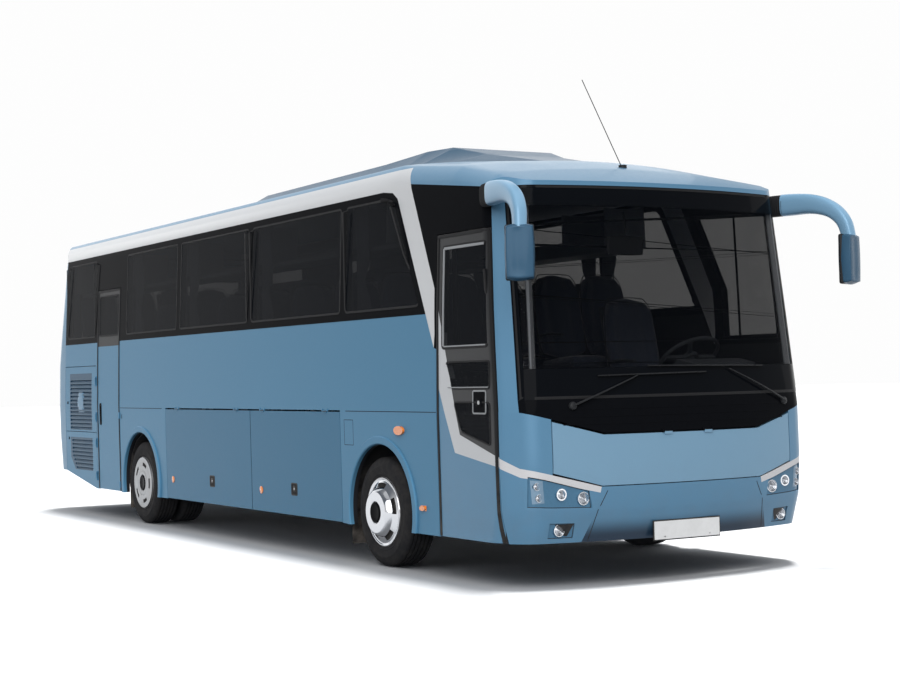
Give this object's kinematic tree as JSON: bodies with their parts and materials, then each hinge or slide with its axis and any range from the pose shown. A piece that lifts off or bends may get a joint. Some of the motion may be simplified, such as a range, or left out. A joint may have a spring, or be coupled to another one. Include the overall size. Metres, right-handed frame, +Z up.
{
  "type": "midi coach",
  "caption": "Midi coach with hollow cabin, seats, opening entrance doors, luggage flaps, service lids, steered front wheels and twin rear wheels.",
  "frame": {"origin": "centre of the bounding box on the ground plane, where the tyres stand", "axes": "+X forward along the coach, +Y to its left, +Z up"},
  "size_m": [9.5817, 2.8066, 3.3567],
  "materials": {
    "body_paint": "metallic gloss",
    "silver_paint": "metallic gloss",
    "black_gloss": "gloss",
    "dark_glass": "tinted",
    "clear_glass": "clear",
    "rubber_black": "matte",
    "tyre": "matte",
    "wheel_metal": "polished",
    "chassis_black": "satin",
    "engine_metal": "matte",
    "interior_grey": "matte",
    "floor_covering": "matte",
    "seat_fabric": "woven",
    "curtain_fabric": "woven",
    "lamp_unit": "clear cover",
    "lamp_red": "gloss",
    "lamp_amber": "gloss",
    "plate_white": "blank"
  },
  "bodies": {
    "body": {"aerial": "chassis_black", "air_conditioner": "body_paint", "air_springs": "rubber_black", "axles": "chassis_black", "chassis": "chassis_black", "curtains": "curtain_fabric", "dashboard": "interior_grey", "floor": "floor_covering", "front_bumper": "body_paint", "front_corners": "body_paint", "front_lamps": "lamp_unit", "front_mask": "black_gloss", "luggage_bays": "interior_grey", "mirrors": "body_paint", "mud_flaps": "rubber_black", "number_plate": "plate_white", "overhead_racks": "interior_grey", "powertrain": "engine_metal", "rear_bumper": "body_paint", "rear_lamps": "lamp_red", "rear_panel": "body_paint", "rear_window": "dark_glass", "roof": "body_paint", "roof_bands": "silver_paint", "seats": "seat_fabric", "side_markers": "lamp_amber", "side_windows": "dark_glass", "skirt_panels": "body_paint", "steering_wheel": "interior_grey", "waist_panels": "body_paint", "wheel_housings": "chassis_black", "window_frames": "black_gloss", "windscreen": "clear_glass", "wipers": "rubber_black"},
    "front_flap": {"front_flap": "body_paint"},
    "engine_lid": {"engine_lid": "body_paint"},
    "door_arms": {"front_door_arms": "chassis_black"},
    "front_door": {"front_door": "black_gloss", "front_door_windows": "dark_glass"},
    "rear_door": {"rear_door": "body_paint", "rear_door_window": "dark_glass"},
    "grille_door_upper_right": {"grille_door_upper_right": "body_paint"},
    "grille_door_lower_right": {"grille_door_lower_right": "body_paint"},
    "luggage_flap_front_right": {"luggage_flap_front_right": "body_paint"},
    "luggage_flap_rear_right": {"luggage_flap_rear_right": "body_paint"},
    "knuckle_right": {"knuckle_right": "chassis_black"},
    "front_wheel_right": {"front_tyre_right": "tyre", "front_wheel_right": "wheel_metal"},
    "rear_wheel_right": {"rear_tyres_right": "tyre", "rear_wheels_right": "wheel_metal"},
    "grille_door_upper_left": {"grille_door_upper_left": "body_paint"},
    "grille_door_lower_left": {"grille_door_lower_left": "body_paint"},
    "luggage_flap_front_left": {"luggage_flap_front_left": "body_paint"},
    "luggage_flap_rear_left": {"luggage_flap_rear_left": "body_paint"},
    "knuckle_left": {"knuckle_left": "chassis_black"},
    "front_wheel_left": {"front_tyre_left": "tyre", "front_wheel_left": "wheel_metal"},
    "rear_wheel_left": {"rear_tyres_left": "tyre", "rear_wheels_left": "wheel_metal"}
  },
  "joints": [
    {"name": "steer_right", "type": "hinge", "parent": "body", "child": "knuckle_right", "pos_m": [2.6625, -0.88, 0.382], "axis": [0, 0, 1], "range_deg": [-38, 38]},
    {"name": "front_wheel_spin_right", "type": "hinge", "parent": "knuckle_right", "child": "front_wheel_right", "pos_m": [2.6625, -1.0705, 0.382], "axis": [0, 1, 0], "continuous": true},
    {"name": "rear_wheel_spin_right", "type": "hinge", "parent": "body", "child": "rear_wheel_right", "pos_m": [-2.1375, -1.0705, 0.382], "axis": [0, 1, 0], "continuous": true},
    {"name": "luggage_flap_rear_right_lift", "type": "hinge", "parent": "body", "child": "luggage_flap_rear_right", "pos_m": [-0.5065, -1.213, 1.083], "axis": [-1, 0, 0], "range_deg": [0, 95]},
    {"name": "luggage_flap_front_right_lift", "type": "hinge", "parent": "body", "child": "luggage_flap_front_right", "pos_m": [1.2625, -1.213, 1.083], "axis": [-1, 0, 0], "range_deg": [0, 95]},
    {"name": "grille_door_upper_right_swing", "type": "hinge", "parent": "body", "child": "grille_door_upper_right", "pos_m": [-3.3965, -1.219, 1.168], "axis": [0, 0, 1], "range_deg": [0, 90]},
    {"name": "grille_door_lower_right_swing", "type": "hinge", "parent": "body", "child": "grille_door_lower_right", "pos_m": [-3.3965, -1.219, 0.55], "axis": [0, 0, 1], "range_deg": [0, 90]},
    {"name": "steer_left", "type": "hinge", "parent": "body", "child": "knuckle_left", "pos_m": [2.6625, 0.88, 0.382], "axis": [0, 0, 1], "range_deg": [-38, 38]},
    {"name": "front_wheel_spin_left", "type": "hinge", "parent": "knuckle_left", "child": "front_wheel_left", "pos_m": [2.6625, 1.0705, 0.382], "axis": [0, 1, 0], "continuous": true},
    {"name": "rear_wheel_spin_left", "type": "hinge", "parent": "body", "child": "rear_wheel_left", "pos_m": [-2.1375, 1.0705, 0.382], "axis": [0, 1, 0], "continuous": true},
    {"name": "luggage_flap_rear_left_lift", "type": "hinge", "parent": "body", "child": "luggage_flap_rear_left", "pos_m": [-0.5065, 1.213, 1.083], "axis": [1, 0, 0], "range_deg": [0, 95]},
    {"name": "luggage_flap_front_left_lift", "type": "hinge", "parent": "body", "child": "luggage_flap_front_left", "pos_m": [1.2625, 1.213, 1.083], "axis": [1, 0, 0], "range_deg": [0, 95]},
    {"name": "grille_door_upper_left_swing", "type": "hinge", "parent": "body", "child": "grille_door_upper_left", "pos_m": [-3.3965, 1.219, 1.168], "axis": [0, 0, -1], "range_deg": [0, 90]},
    {"name": "grille_door_lower_left_swing", "type": "hinge", "parent": "body", "child": "grille_door_lower_left", "pos_m": [-3.3965, 1.219, 0.55], "axis": [0, 0, -1], "range_deg": [0, 90]},
    {"name": "rear_door_swing", "type": "hinge", "parent": "body", "child": "rear_door", "pos_m": [-2.6945, -1.219, 1.2], "axis": [0, 0, 1], "range_deg": [0, 85]},
    {"name": "engine_lid_lift", "type": "hinge", "parent": "body", "child": "engine_lid", "pos_m": [-4.7925, 0, 1.456], "axis": [0, 1, 0], "range_deg": [0, 80]},
    {"name": "front_flap_lift", "type": "hinge", "parent": "body", "child": "front_flap", "pos_m": [4.59787, 0, 0.941], "axis": [0, -1, 0], "range_deg": [0, 70]},
    {"name": "door_arms_swing", "type": "hinge", "parent": "body", "child": "door_arms", "pos_m": [3.5875, -1.1, 1.3], "axis": [0, 0, -1], "range_deg": [0, 150]},
    {"name": "front_door_swing", "type": "hinge", "parent": "door_arms", "child": "front_door", "pos_m": [3.9475, -1.1, 1.3], "axis": [0, 0, -1], "range_deg": [-150, 0]}
  ],
  "couplings": [
    {"joint": "steer_right", "follows": "steer_left", "ratio": 1},
    {"joint": "front_door_swing", "follows": "door_arms_swing", "ratio": -1}
  ]
}
